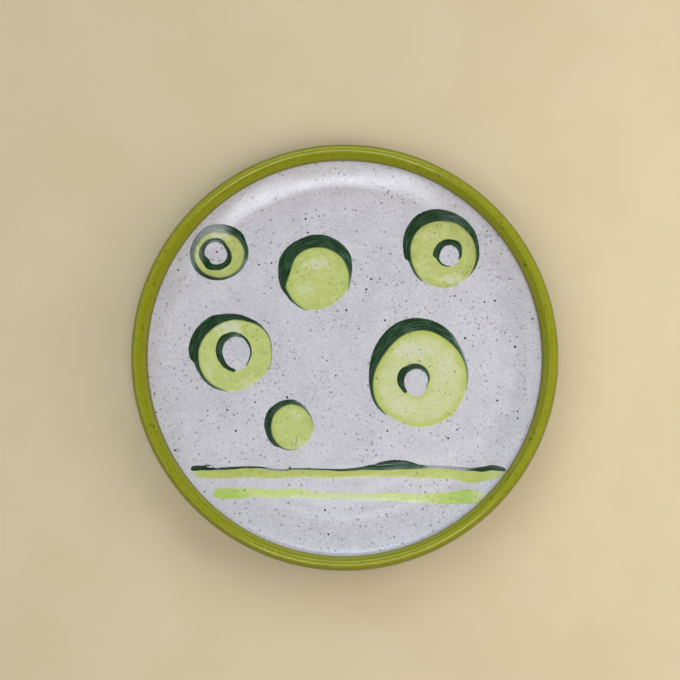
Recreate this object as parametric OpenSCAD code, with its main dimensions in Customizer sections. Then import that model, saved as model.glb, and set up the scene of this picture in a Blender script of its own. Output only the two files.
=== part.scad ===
// Hand painted stoneware plate.
// A thrown clay body with a rolled lip and a foot ring, the glaze coats that
// cover it, and every brush stroke of the decoration as its own thin layer.
// The plate stands on its foot ring: the origin is the middle of that ring,
// on the table, with +Z up and +Y towards the top of the painted design.

/* [Plate] */
// Diameter at the widest point of the lip
plate_d = 220; // [180:1:280]
// Height from the table to the crown of the lip
plate_h = 24; // [22:0.5:28]
// Height of the eating surface above the table
floor_z = 10; // [9.5:0.25:10.5]
// Radius of the flat part of the well, as a share of the plate's radius
flat_share = 0.782; // [0.75:0.002:0.8]
// Slope of the well where its curve meets the lip, in degrees
cove_slope = 25.5; // [24:0.5:28]

/* [Lip] */
// Width of the lip, from the end of the well's curve to the widest point
lip_w = 9.35; // [9.2:0.05:9.8]
// Radius of the fillet at the foot of the lip's inner wall
fillet_r = 3.5; // [3:0.25:4]
// Slope of the lip's inner wall in degrees
wall_slope = 79.5; // [78:0.5:81]
// Radius of the roll on top of the lip
crown_r = 2.8; // [2.4:0.1:3]
// Distance of the middle of that roll from the widest point
crown_in = 3.6; // [3.4:0.1:4]
// Height of the widest point, as a share of the plate's height
widest_share = 0.71; // [0.66:0.01:0.74]

/* [Foot ring] */
// Outer radius of the foot ring, as a share of the plate's radius
foot_share = 0.618; // [0.55:0.002:0.65]
// Width of the foot's flat contact face
foot_face_w = 5; // [4:0.5:8]
// Height of the plate's underside above the table, outside the foot ring
under_z = 4.2; // [4:0.1:4.6]
// Height of the recess inside the foot ring
recess_z = 3.5; // [3:0.1:3.9]
// Chamfer on both edges of the foot's contact face
foot_chamfer = 0.8; // [0.4:0.1:1.2]

/* [Glaze and paint] */
// Thickness of every glaze coat
glaze_t = 0.5; // [0.3:0.1:0.7]
// Thickness of the painted strokes
paint_t = 0.2; // [0.1:0.05:0.3]

/* [Hidden] */
$fn = 96;

clay_colour = [0.80, 0.68, 0.52];
white_colour = [0.80, 0.80, 0.82];
olive_colour = [0.52, 0.53, 0.12];
light_green = [0.76, 0.81, 0.52];
dark_green = [0.13, 0.24, 0.14];
line_green = [0.60, 0.66, 0.24];
lime_green = [0.70, 0.78, 0.36];

rim_r = plate_d / 2;
flat_r = flat_share * rim_r;
cove_end_r = rim_r - lip_w;
cove_r = (cove_end_r - flat_r) / sin(cove_slope);
crown_c = [rim_r - crown_in, plate_h - crown_r];
widest_p = [rim_r, widest_share * plate_h];
foot_r = foot_share * rim_r;
foot_in_r = foot_r - foot_face_w - 2 * foot_chamfer;

// Steps along the curves of the section
cove_steps = 10;
fillet_steps = 6;
wall_steps = 3;
crown_steps = 14;
outer_steps = 4;
under_steps = 14;
// Where the lip's roll ends on the outside, in degrees above its middle
crown_end = 22;
// Length of the handles of the curve from the roll to the widest point
outer_handle = 1.8;
// Steps of the fillet that the white glaze covers before the olive one begins
white_steps = 4;
// Steps of the fillet that the painted strokes may reach
paint_steps = 2;
// Steps of the outer curve that the olive glaze covers, counted from the widest point
olive_steps = 6;
// How far down the foot's sides the glaze runs, as a share of their height
foot_glaze_share = 0.25;

// The decoration is laid out for a plate of this diameter and scales with it
layout_d = 220;
layout_k = plate_d / layout_d;
// Height of the cutter that turns an outline into a stroke
stroke_h = 3 * plate_h;

// --- Curves -----------------------------------------------------------------

// Points on an arc about c, from angle a to angle b
function arc(c, r, a, b, n) =
    [for (i = [0:n]) let (t = a + (b - a) * i / n) c + r * [cos(t), sin(t)]];

// Points on a cubic curve through two end points, drawn by two handles
function cubic(p, n) =
    [for (i = [0:n]) let (t = i / n, u = 1 - t)
        u * u * u * p[0] + 3 * u * u * t * p[1] + 3 * u * t * t * p[2] + t * t * t * p[3]];

// Unit normal of a path at point i, on the left of its direction of travel
function path_normal(p, i) =
    let (d = p[min(i + 1, len(p) - 1)] - p[max(i - 1, 0)])
    [-d[1], d[0]] / norm(d);

// Points of a path from index a to index b
function part_of(p, a, b) = [for (i = [a:b]) p[i]];

// The same points moved by t along the path's normals
function moved(p, a, b, t) = [for (i = [a:b]) p[i] + t * path_normal(p, i)];

function reversed(p) = [for (i = [len(p) - 1:-1:0]) p[i]];

// Smooth value between rows b and c of a table, column j
function smooth(a, b, c, d, t) =
    0.5 * (2 * b + (c - a) * t + (2 * a - 5 * b + 4 * c - d) * t * t
        + (3 * b - a - 3 * c + d) * t * t * t);

// --- Section of the plate, from the middle of the well out and round ----------

cove_path = arc([flat_r, floor_z + cove_r], cove_r, -90, -90 + cove_slope, cove_steps);
cove_end_p = cove_path[cove_steps];
fillet_c = cove_end_p + fillet_r * [-sin(cove_slope), cos(cove_slope)];
fillet_path = arc(fillet_c, fillet_r, cove_slope - 90, wall_slope - 90, fillet_steps);
well_path = concat([[0, floor_z]], cove_path, part_of(fillet_path, 1, fillet_steps));
crown_path = arc(crown_c, crown_r, 90 + wall_slope, crown_end, crown_steps);
wall_start_p = fillet_path[fillet_steps];
wall_path = [for (i = [1:wall_steps - 1])
    let (t = i / wall_steps) wall_start_p + t * (crown_path[0] - wall_start_p)];
crown_end_p = crown_path[crown_steps];
outer_path = cubic([
    crown_end_p,
    crown_end_p + outer_handle * [sin(crown_end), -cos(crown_end)],
    widest_p + [0, outer_handle],
    widest_p
], outer_steps);
foot_top_p = [foot_r + 1.5 * foot_chamfer, under_z];
under_path = cubic([
    widest_p,
    [rim_r, 0.4 * plate_h],
    [0.82 * rim_r, under_z],
    foot_top_p
], under_steps);
foot_glaze_z = under_z * (1 - foot_glaze_share);
recess_glaze_z = recess_z * (1 - foot_glaze_share);
foot_path = [
    [foot_r, foot_glaze_z],
    [foot_r, foot_chamfer],
    [foot_r - foot_chamfer, 0],
    [foot_in_r + foot_chamfer, 0],
    [foot_in_r, foot_chamfer],
    [foot_in_r, recess_glaze_z],
    [foot_in_r - foot_chamfer, recess_z],
    [0, recess_z]
];
section = concat(
    well_path,
    wall_path,
    crown_path,
    part_of(outer_path, 1, outer_steps),
    part_of(under_path, 1, under_steps),
    foot_path
);

// Indexes on the section where one coat ends and the next begins
crease_i = len(well_path) - 1 - fillet_steps + white_steps;
paint_i = len(well_path) - 1 - fillet_steps + paint_steps;
widest_i = len(well_path) + len(wall_path) + len(crown_path) - 1 + outer_steps;
olive_end_i = widest_i + olive_steps;
foot_i = len(section) - len(foot_path);
recess_i = len(section) - 3;
last_i = len(section) - 1;

// --- Clay and glaze -----------------------------------------------------------

// One glaze coat: the band of the section between two indexes, glaze_t deep
module coat(a, b) {
    rotate_extrude()
        polygon(concat(part_of(section, a, b), reversed(moved(section, a, b, -glaze_t))));
}

module clay_body() {
    color(clay_colour)
        rotate_extrude()
            polygon(concat(
                moved(section, 0, foot_i, -glaze_t),
                part_of(section, foot_i, recess_i),
                moved(section, recess_i, last_i, -glaze_t)
            ));
}

module well_glaze() {
    color(white_colour) coat(0, crease_i);
}

module rim_glaze() {
    color(olive_colour) coat(crease_i, olive_end_i);
}

module underside_glaze() {
    color(white_colour) coat(olive_end_i, foot_i);
}

module foot_well_glaze() {
    color(white_colour) coat(recess_i, last_i);
}

// --- Outlines of the strokes --------------------------------------------------

// An ellipse given as [x, y, half width, half height]
module oval(e) {
    polygon([for (a = [0:7.5:359]) [e[0] + e[2] * cos(a), e[1] + e[3] * sin(a)]]);
}

// A pie slice about an ellipse's middle, from angle a to angle b
module slice(e, a, b) {
    reach = 2 * max(e[2], e[3]);
    steps = ceil((b - a) / 30);
    polygon(concat(
        [[e[0], e[1]]],
        [for (i = [0:steps])
            let (t = a + (b - a) * i / steps) [e[0] + reach * cos(t), e[1] + reach * sin(t)]]
    ));
}

// A long stroke: rows of [x, y, half width], joined by smooth curves
module brush_line(rows) {
    last = len(rows) - 1;
    steps = 3;
    fine = concat(
        [for (i = [0:last - 1], k = [0:steps - 1])
            smooth(rows[max(i - 1, 0)], rows[i], rows[i + 1], rows[min(i + 2, last)], k / steps)],
        [rows[last]]
    );
    polygon(concat(
        [for (p = fine) [p[0], p[1] + p[2]]],
        [for (p = reversed(fine)) [p[0], p[1] - p[2]]]
    ));
}

// Turns an outline into a layer of paint that follows the surface of the well
module painted() {
    intersection() {
        linear_extrude(height = stroke_h) scale(layout_k) children();
        rotate_extrude()
            intersection() {
                polygon(concat(
                    part_of(section, 0, crease_i),
                    reversed(moved(section, 0, crease_i, paint_t))
                ));
                square([section[paint_i][0], stroke_h]);
            }
    }
}

// --- The six motifs -------------------------------------------------------------
// Each has a dark shape behind, a light green shape in front, and on the rings a
// smaller dark shape with a hole. Ovals are [x, y, half width, half height], and
// the inner stroke runs between two angles about its own hole.

small_ring = [[-64.6, 54.6, 15.3, 14.4], [-65.4, 53.6, 13.2, 12.3],
    [-67.6, 53.4, 8.3, 8.5], [-67.3, 54.1, 5.8, 5.7], [0, 360]];
top_disc = [[-15.2, 45, 19.3, 19.3], [-13.8, 40.7, 16.4, 16.7]];
right_ring = [[50.5, 56.9, 20.2, 20.2], [51.5, 53.4, 17.3, 17.8],
    [53.7, 54.1, 7.9, 7.9], [54.8, 52.9, 4.7, 5.4], [-15, 265]];
left_ring = [[-59.2, 2.7, 21.2, 20.0], [-57.1, 0.4, 19.1, 18.8],
    [-57.9, 3.1, 9.5, 10.1], [-56.4, 2.1, 7.1, 8.2], [-5, 268]];
big_ring = [[38.2, -6.1, 25.1, 26.7], [39.4, -11.8, 24.3, 25.2],
    [35.8, -11.2, 8.6, 7.8], [37.2, -13.1, 6.3, 6.7], [-10, 225]];
low_disc = [[-29.4, -35.1, 12.8, 12.8], [-27.2, -36.5, 11.2, 11.8]];

// The dark stroke of a motif: what shows of the dark shape behind the light one
module back_stroke(m) {
    color(dark_green)
        painted()
            difference() {
                oval(m[0]);
                oval(m[1]);
            }
}

// Outline of the small dark ring inside a motif
module inner_outline(m) {
    intersection() {
        difference() {
            oval(m[2]);
            oval(m[3]);
        }
        slice(m[3], m[4][0], m[4][1]);
    }
}

module inner_stroke(m) {
    color(dark_green) painted() inner_outline(m);
}

// The light green disc of a motif without a hole
module disc_fill(m) {
    color(light_green) painted() oval(m[1]);
}

// The light green ring of a motif, up to its inner dark stroke and its hole
module ring_fill(m) {
    color(light_green)
        painted()
            difference() {
                oval(m[1]);
                oval(m[3]);
                inner_outline(m);
            }
}

module small_ring_fill() { ring_fill(small_ring); }
module small_ring_outline() { back_stroke(small_ring); }
module small_ring_inner() { inner_stroke(small_ring); }

module top_disc_fill() { disc_fill(top_disc); }
module top_disc_crescent() { back_stroke(top_disc); }

module right_ring_fill() { ring_fill(right_ring); }
module right_ring_crescent() { back_stroke(right_ring); }
module right_ring_inner() { inner_stroke(right_ring); }

module left_ring_fill() { ring_fill(left_ring); }
module left_ring_crescent() { back_stroke(left_ring); }
module left_ring_inner() { inner_stroke(left_ring); }

module big_ring_fill() { ring_fill(big_ring); }
module big_ring_crescent() { back_stroke(big_ring); }
module big_ring_inner() { inner_stroke(big_ring); }

module low_disc_fill() { disc_fill(low_disc); }
module low_disc_crescent() { back_stroke(low_disc); }

// --- The three lines below the motifs ---------------------------------------------
// Rows of [x, y, half width] along each stroke, from left to right

dark_rows = [[-79, -58.1, 0.5], [-75, -57.5, 1.5], [-66, -58.1, 0.7], [-45, -57.4, 0.5],
    [-33, -58.7, 0.5], [-2, -58.7, 0.6], [9, -57.7, 1], [20, -56.7, 1.8],
    [29, -55.7, 2.4], [38, -56.3, 1.7], [48, -57.4, 0.6], [64, -58.2, 0.6],
    [75, -57.7, 1.5], [82, -58.6, 0.7]];
olive_rows = [[-78.5, -60.8, 0.5], [-75, -61, 2], [-50, -60.7, 2.4], [-20, -61, 2.3],
    [10, -60.8, 2.1], [40, -60.7, 2.6], [55, -61.3, 2.7], [67, -62.5, 3],
    [76, -61.5, 2.3], [81, -61.3, 0.5]];
lime_rows = [[-68, -71, 1], [-64, -71, 3.1], [-54, -70.7, 3.1], [-40, -70.7, 2.5],
    [-15, -71.1, 2.4], [5, -72, 2.2], [25, -72.5, 2.5], [45, -73.1, 3],
    [58, -72.9, 4], [66, -72.3, 4], [73, -71.9, 1.5]];

module dark_line() {
    color(dark_green) painted() brush_line(dark_rows);
}

module olive_line() {
    color(line_green)
        painted()
            difference() {
                brush_line(olive_rows);
                brush_line(dark_rows);
            }
}

module lime_line() {
    color(lime_green) painted() brush_line(lime_rows);
}

clay_body();
well_glaze();
rim_glaze();
underside_glaze();
foot_well_glaze();
small_ring_fill();
small_ring_outline();
small_ring_inner();
top_disc_fill();
top_disc_crescent();
right_ring_fill();
right_ring_crescent();
right_ring_inner();
left_ring_fill();
left_ring_crescent();
left_ring_inner();
big_ring_fill();
big_ring_crescent();
big_ring_inner();
low_disc_fill();
low_disc_crescent();
dark_line();
olive_line();
lime_line();
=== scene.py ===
"""Looks of the hand painted stoneware plate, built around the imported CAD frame.

Every coat of glaze and every brush stroke is its own closed mesh. All of them follow one section
of the plate, so they stay in contact. Lengths are in millimetres until a mesh is made.
"""

import math

import bpy
import numpy as np
from mathutils import Matrix, Vector


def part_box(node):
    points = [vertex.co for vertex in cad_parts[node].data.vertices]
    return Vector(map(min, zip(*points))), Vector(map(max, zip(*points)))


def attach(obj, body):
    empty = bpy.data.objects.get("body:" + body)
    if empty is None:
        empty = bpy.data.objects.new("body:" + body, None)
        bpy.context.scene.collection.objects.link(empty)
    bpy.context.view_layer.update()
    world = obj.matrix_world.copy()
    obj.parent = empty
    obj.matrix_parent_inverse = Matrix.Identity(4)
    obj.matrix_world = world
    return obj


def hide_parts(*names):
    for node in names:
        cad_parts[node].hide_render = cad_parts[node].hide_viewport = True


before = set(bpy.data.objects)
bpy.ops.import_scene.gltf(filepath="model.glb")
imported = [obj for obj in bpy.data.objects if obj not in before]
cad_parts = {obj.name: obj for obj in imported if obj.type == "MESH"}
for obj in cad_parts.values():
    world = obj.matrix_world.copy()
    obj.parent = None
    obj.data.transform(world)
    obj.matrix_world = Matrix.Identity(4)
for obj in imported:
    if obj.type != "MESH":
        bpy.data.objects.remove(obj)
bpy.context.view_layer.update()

MM = 0.001
BODY = "root"

# --- Sizes, from the frame ----------------------------------------------------------------------

def box_mm(node):
    low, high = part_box(node)
    return np.round(np.array(low) / MM, 1), np.round(np.array(high) / MM, 1)


GLAZE_T = 0.5
FLAT_SHARE = 0.782
COVE_SHARE = 0.915
COVE_SLOPE = math.radians(25.5)
FILLET_R = 3.5
WALL_SLOPE = math.radians(79.5)
CROWN_R = 2.8
CROWN_IN = 3.6
CROWN_END = math.radians(22)
OUTER_HANDLE = 1.8
WIDEST_Z = 0.71
BELLY_Z = 0.4
BELLY_R = 0.82
FOOT_W = 5.0
CHAMFER = 0.8
UNDER_Z = 4.2
RECESS_Z = 3.5
CORNER_Z = 0.75

rim_r, _, plate_h = box_mm("rim_glaze")[1]
floor_z = box_mm("well_glaze")[0][2] + GLAZE_T
flat_r = FLAT_SHARE * rim_r
cove_end_r = COVE_SHARE * rim_r
cove_r = (cove_end_r - flat_r) / math.sin(COVE_SLOPE)
foot_in_r = box_mm("foot_well_glaze")[1][0]
foot_r = foot_in_r + FOOT_W + 2 * CHAMFER

# --- The section: one path from the middle of the well, over the lip and round below ---------

def arc(centre, radius, start, end, steps):
    angles = np.linspace(start, end, steps)
    return np.stack([centre[0] + radius * np.cos(angles), centre[1] + radius * np.sin(angles)], 1)


def cubic(points, steps):
    t = np.linspace(0, 1, steps)[:, None]
    a, b, c, d = (np.array(p, float) for p in points)
    return (1 - t) ** 3 * a + 3 * (1 - t) ** 2 * t * b + 3 * (1 - t) * t ** 2 * c + t ** 3 * d


def line(a, b, steps):
    t = np.linspace(0, 1, steps)[:, None]
    return (1 - t) * np.array(a, float) + t * np.array(b, float)


def smooth_path(points, step, sigma):
    """The same path with its corners eased, as points a fixed step apart."""
    lengths = np.concatenate([[0], np.cumsum(np.hypot(*np.diff(points, axis=0).T))])
    s = np.arange(0, lengths[-1], step)
    even = np.stack([np.interp(s, lengths, points[:, k]) for k in (0, 1)], 1)
    reach = int(4 * sigma / step)
    kernel = np.exp(-0.5 * (np.arange(-reach, reach + 1) * step / sigma) ** 2)
    kernel /= kernel.sum()
    before = 2 * even[0] - even[reach:0:-1]
    after = 2 * even[-1] - even[-2:-reach - 2:-1]
    padded = np.concatenate([before, even, after])
    return np.stack([np.convolve(padded[:, k], kernel, "valid") for k in (0, 1)], 1)


cove_path = arc((flat_r, floor_z + cove_r), cove_r, -math.pi / 2, -math.pi / 2 + COVE_SLOPE, 40)
fillet_c = cove_path[-1] + FILLET_R * np.array([-math.sin(COVE_SLOPE), math.cos(COVE_SLOPE)])
fillet_path = arc(fillet_c, FILLET_R, COVE_SLOPE - math.pi / 2, WALL_SLOPE - math.pi / 2, 24)
crown_c = (rim_r - CROWN_IN, plate_h - CROWN_R)
crown_path = arc(crown_c, CROWN_R, math.pi / 2 + WALL_SLOPE, CROWN_END, 60)
widest = (rim_r, WIDEST_Z * plate_h)
crown_leaves = np.array([math.sin(CROWN_END), -math.cos(CROWN_END)])
outer_path = cubic(
    [crown_path[-1], crown_path[-1] + OUTER_HANDLE * crown_leaves,
     (rim_r, widest[1] + OUTER_HANDLE), widest], 30)
under_path = cubic(
    [widest, (rim_r, BELLY_Z * plate_h), (BELLY_R * rim_r, UNDER_Z),
     (foot_r + 1.5 * CHAMFER, UNDER_Z)], 80)
top_part = np.concatenate([
    line((0, floor_z), (flat_r, floor_z), 90)[:-1],
    cove_path,
    fillet_path[1:],
    line(fillet_path[-1], crown_path[0], 12)[1:-1],
    crown_path,
    outer_path[1:],
    under_path[1:],
])
foot_part = np.array([
    (foot_r, CORNER_Z * UNDER_Z), (foot_r, CHAMFER), (foot_r - CHAMFER, 0),
    (foot_in_r + CHAMFER, 0), (foot_in_r, CHAMFER), (foot_in_r, CORNER_Z * RECESS_Z),
    (foot_in_r - CHAMFER, RECESS_Z), (0, RECESS_Z)])
STEP = 0.1
EASE = 0.35
path = smooth_path(np.concatenate([top_part, foot_part]), STEP, EASE)
path[0, 0] = 0
path[-1, 0] = 0
path[:, 1] -= min(0.0, path[:, 1].min())
path_s = np.arange(len(path)) * STEP
tangent = np.gradient(path, axis=0)
tangent /= np.hypot(*tangent.T)[:, None]
normal = np.stack([-tangent[:, 1], tangent[:, 0]], 1)


def nearest_s(point, low=0, high=None):
    """Length along the path at which it passes closest to a point of the section."""
    span = slice(int(low / STEP), None if high is None else int(high / STEP))
    gap = np.hypot(*(path[span] - np.array(point)).T)
    return path_s[span][int(np.argmin(gap))]


OLIVE_START_SLOPE = math.radians(61.5)
OLIVE_END = (0.915 * rim_r, 8)
crown_s = nearest_s((crown_c[0], plate_h))
cove_s = nearest_s(cove_path[-1], high=crown_s)
olive_start = fillet_c + FILLET_R * np.array([
    math.sin(OLIVE_START_SLOPE), -math.cos(OLIVE_START_SLOPE)])
crease_s = nearest_s(olive_start, high=crown_s)
olive_end_s = nearest_s(OLIVE_END, low=crown_s)
foot_out_s = nearest_s((foot_r, CORNER_Z * UNDER_Z), low=crown_s)
foot_in_s = nearest_s((foot_in_r, CORNER_Z * RECESS_Z), low=crown_s)
end_s = path_s[-1]

# --- Handmade irregularity ----------------------------------------------------------------------

def harmonics(theta, seed, amplitude, first=2, count=6):
    """A closed, slightly random wave round the plate or round a stroke."""
    rng = np.random.default_rng(seed)
    total = np.zeros_like(theta)
    for k in range(first, first + count):
        total = total + rng.normal() / (k - first + 1.5) * np.sin(k * theta + rng.uniform(0, 6.28))
    return amplitude * total


def ease(low, high, x):
    t = np.clip((x - low) / (high - low), 0, 1)
    return t * t * (3 - 2 * t)


WARP_FROM_R = 70
WARP_RISE = 0.22
WARP_RISE_SEED = 11
WARP_OUT = 0.12
WARP_OUT_SEED = 12
THROW_PITCH = 6.5
THROW_DEPTH = 0.02
THROW_FROM_R = (3, 12)
THROW_FADE = 8
TRIM_PITCH = 1.9
TRIM_DEPTH = 0.05
TRIM_FROM_R = (5, 15)
TRIM_FADE = 20


def surface(s, theta, lift):
    """Points of the plate in metres: at length s along the section, turned to angle theta and
    raised by lift from the glazed surface. All three are arrays of the same shape."""
    r = np.interp(s, path_s, path[:, 0])
    z = np.interp(s, path_s, path[:, 1])
    n_r = np.interp(s, path_s, normal[:, 0])
    n_z = np.interp(s, path_s, normal[:, 1])
    in_well = (1 - ease(cove_s - THROW_FADE, cove_s, s)) * ease(*THROW_FROM_R, r)
    throw = THROW_DEPTH * in_well * np.sin(2 * math.pi * r / THROW_PITCH + theta)
    below = ease(olive_end_s - TRIM_FADE, olive_end_s, s) * ease(*TRIM_FROM_R, r)
    on_foot = (s > foot_out_s) & (s < foot_in_s)
    trim = TRIM_DEPTH * np.where(on_foot, 0, below) * np.sin(2 * math.pi * r / TRIM_PITCH + theta)
    lift = lift + throw + trim
    r = r + lift * n_r
    z = z + lift * n_z
    outer = np.clip((r - WARP_FROM_R) / (rim_r - WARP_FROM_R), 0, 1) ** 2
    z = z + outer * harmonics(theta, WARP_RISE_SEED, WARP_RISE, 2, 3)
    r = r + outer * harmonics(theta, WARP_OUT_SEED, WARP_OUT, 2, 4)
    return np.stack([r * np.cos(theta), r * np.sin(theta), z], -1) * MM


well_s = path_s[: int(crease_s / STEP)]
well_r = path[: len(well_s), 0]


def on_well(x, y, lift):
    """Points in metres above (x, y) of the well, raised by lift."""
    return surface(np.interp(np.hypot(x, y), well_r, well_s), np.arctan2(y, x), lift)


# --- Meshes -------------------------------------------------------------------------------------

def add_mesh(name, points, faces, flat_from, values):
    """A mesh object whose faces are smooth up to number flat_from and flat after it."""
    mesh = bpy.data.meshes.new(name)
    mesh.from_pydata(points.reshape(-1, 3).tolist(), [], faces)
    smooth = np.arange(len(faces)) < flat_from
    mesh.polygons.foreach_set("use_smooth", smooth)
    for key, data in values.items():
        attribute = mesh.attributes.new(key, "FLOAT", "POINT")
        attribute.data.foreach_set("value", np.asarray(data, np.float32).ravel())
    mesh.update()
    piece = bpy.data.objects.new(name, mesh)
    bpy.context.scene.collection.objects.link(piece)
    return piece


def sheet_faces(index, closed):
    """Quads of a grid of vertex numbers, or triangles where a side has shrunk to a point."""
    rows = index if not closed else np.concatenate([index, index[:1]])
    faces = []
    for a, b in zip(rows[:-1], rows[1:]):
        for j in range(len(a) - 1):
            corners = [a[j], b[j], b[j + 1], a[j + 1]]
            faces.append([int(v) for k, v in enumerate(corners) if v != corners[k - 1]])
    return faces


def without_unused(points, faces):
    """The points that faces use, the faces with their new numbers, and the points' old ones."""
    used = np.unique(np.concatenate([np.array(f) for f in faces]))
    renumber = np.zeros(len(points), int)
    renumber[used] = np.arange(len(used))
    return points[used], [[int(renumber[v]) for v in f] for f in faces], used


def layer(name, top, bottom, values, closed=False, pole=False):
    """A thin closed solid between two grids of points. closed joins the first row to the last,
    and pole means that every row starts at the same point."""
    n, m = top.shape[:2]
    count = n * m
    index = np.arange(count).reshape(n, m)
    if pole:
        index[:, 0] = index[0, 0]
    lower = index + count
    faces = sheet_faces(index, closed)
    smooth_count = len(faces)
    faces += [f[::-1] for f in sheet_faces(lower, closed)]
    sides = [(index[:, -1], lower[:, -1])]
    if not pole:
        sides.append((lower[:, 0], index[:, 0]))
    for upper_edge, lower_edge in sides:
        faces += [f[::-1] for f in sheet_faces(np.stack([lower_edge, upper_edge], 1), closed)]
    if not closed:
        faces += [f[::-1] for f in sheet_faces(np.stack([index[0], lower[0]], 1), False)]
        faces += [f[::-1] for f in sheet_faces(np.stack([lower[-1], index[-1]], 1), False)]
    points = np.concatenate([top.reshape(-1, 3), bottom.reshape(-1, 3)])
    points, faces, used = without_unused(points, faces)
    doubled = {k: np.concatenate([np.ravel(v), np.ravel(v)])[used] for k, v in values.items()}
    return add_mesh(name, points, faces, smooth_count, doubled)


def turned(name, rows, edge):
    """A closed solid of revolution. rows are (s, lift, slip) down the outline, where slip moves
    a row along the section by the same share of the coat's uneven edge."""
    theta = np.linspace(0, 2 * math.pi, TURNS, endpoint=False)
    s = np.array([row[0] for row in rows])
    lift = np.array([row[1] for row in rows])
    slip = np.array([row[2] for row in rows])
    grid_theta, grid_s = np.meshgrid(theta, s, indexing="ij")
    grid_s = grid_s + slip[None, :] * edge(grid_theta)
    points = surface(np.clip(grid_s, 0, end_s), grid_theta, np.broadcast_to(lift, grid_s.shape))
    index = np.arange(points.shape[0] * points.shape[1]).reshape(points.shape[:2])
    radius = np.hypot(points[0, :, 0], points[0, :, 1])
    for j in np.nonzero(radius < ON_AXIS)[0]:
        index[:, j] = index[0, j]
    faces = sheet_faces(index, True)
    if radius[0] > ON_AXIS:
        faces += sheet_faces(np.stack([index[:, -1], index[:, 0]], 1), True)
    faces = [f for f in faces if len(f) > 2]
    flat, faces, used = without_unused(points.reshape(-1, 3), faces)
    along = np.ravel(grid_s)[used]
    from_edge = np.broadcast_to(s[None, :] - s[0], points.shape[:2]).ravel()[used]
    return add_mesh(name, flat, faces, len(faces), {"along": along, "from_edge": from_edge})


TURNS = 384
ON_AXIS = 1e-6
EDGE_ROUND = (0.0, 0.12, 0.3, 0.6, 1.0)
EDGE_FINE = 6
SLIP_FADE = 5
OLIVE_OVER = 0.06


def coat_rows(start, end, fine, coarse, open_start, open_end, over=0.0):
    """Rows down a glaze coat: along its outer face, round its edges and back along the clay.
    fine and coarse are the spacings near its edges and in its middle, and over is how far it
    stands above the coats beside it."""
    spots = [start]
    while spots[-1] < end - fine:
        from_edge = min(spots[-1] - start, end - spots[-1])
        spots.append(spots[-1] + (fine if from_edge < EDGE_FINE else coarse))
    spots.append(end)
    spots = np.array(sorted(set(spots)
                            | {start + d for d in EDGE_ROUND if open_start}
                            | {end - d for d in EDGE_ROUND if open_end}))
    rows = []
    for s in spots:
        thin = 0.0
        slip = 0.0
        if open_start:
            thin = max(thin, 1 - ease(0, EDGE_ROUND[-1], s - start))
            slip = 1 - ease(0, SLIP_FADE, s - start)
        if open_end:
            thin = max(thin, 1 - ease(0, EDGE_ROUND[-1], end - s))
            slip = slip - (1 - ease(0, SLIP_FADE, end - s))
        rows.append((s, over - (over + 0.5 * GLAZE_T) * thin, slip))
    back = [(s, -GLAZE_T, slip) for s, _, slip in rows[::-1]]
    return rows + back


def still(theta):
    return np.zeros_like(theta)


# --- Materials ----------------------------------------------------------------------------------

def linear(r, g, b):
    """A colour given as eight-bit sRGB, as a linear colour with alpha."""
    def one(v):
        v = v / 255
        return v / 12.92 if v <= 0.04045 else ((v + 0.055) / 1.055) ** 2.4
    return (one(r), one(g), one(b), 1.0)


class Nodes:
    """The nodes of a material or a world. Sockets are passed as values, and numbers are set."""

    def __init__(self, owner):
        owner.use_nodes = True
        self.tree = owner.node_tree
        self.tree.nodes.clear()

    def add(self, kind, **settings):
        node = self.tree.nodes.new(kind)
        for key, value in settings.items():
            setattr(node, key, value)
        return node

    def put(self, socket, value):
        if isinstance(value, bpy.types.NodeSocket):
            self.tree.links.new(value, socket)
        elif value is not None:
            socket.default_value = value

    def math(self, operation, a, b=None, c=None):
        node = self.add("ShaderNodeMath", operation=operation)
        for socket, value in zip(node.inputs, (a, b, c)):
            self.put(socket, value)
        return node.outputs[0]

    def vector(self, operation, a, b):
        node = self.add("ShaderNodeVectorMath", operation=operation)
        self.put(node.inputs[0], a)
        self.put(node.inputs[1], b)
        return node.outputs[0]

    def step(self, value, low, high, to_low=0.0, to_high=1.0):
        node = self.add("ShaderNodeMapRange", interpolation_type="SMOOTHSTEP")
        for socket, v in zip(node.inputs, (value, low, high, to_low, to_high)):
            self.put(socket, v)
        return node.outputs[0]


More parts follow.
